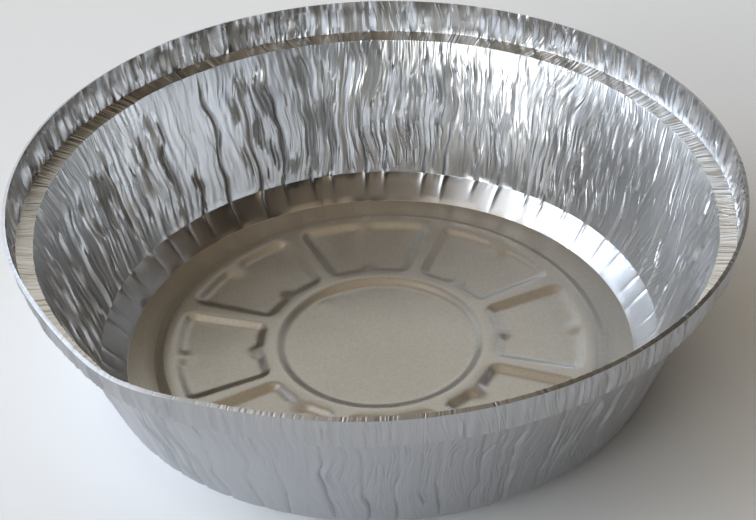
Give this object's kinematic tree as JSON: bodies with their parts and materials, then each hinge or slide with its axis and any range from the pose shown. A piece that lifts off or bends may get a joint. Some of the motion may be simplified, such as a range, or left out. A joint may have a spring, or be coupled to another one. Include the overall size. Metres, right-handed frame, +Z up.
{
  "type": "foil bowl",
  "caption": "Round pressed aluminium foil bowl with a creased flaring wall, an upright rim band above a ledge, and a floor embossed with spokes, sunk panels and a dish.",
  "frame": {"origin": "middle of the floor, in the plane of the flat ring that the bowl stands on", "axes": "+Z up along the bowl's axis, out of its mouth; -Y towards the front, where the picture was taken from"},
  "size_m": [0.18, 0.1795, 0.0523],
  "materials": {
    "foil": "bright creased foil"
  },
  "bodies": {
    "root": {"bowl": "foil"}
  },
  "joints": []
}
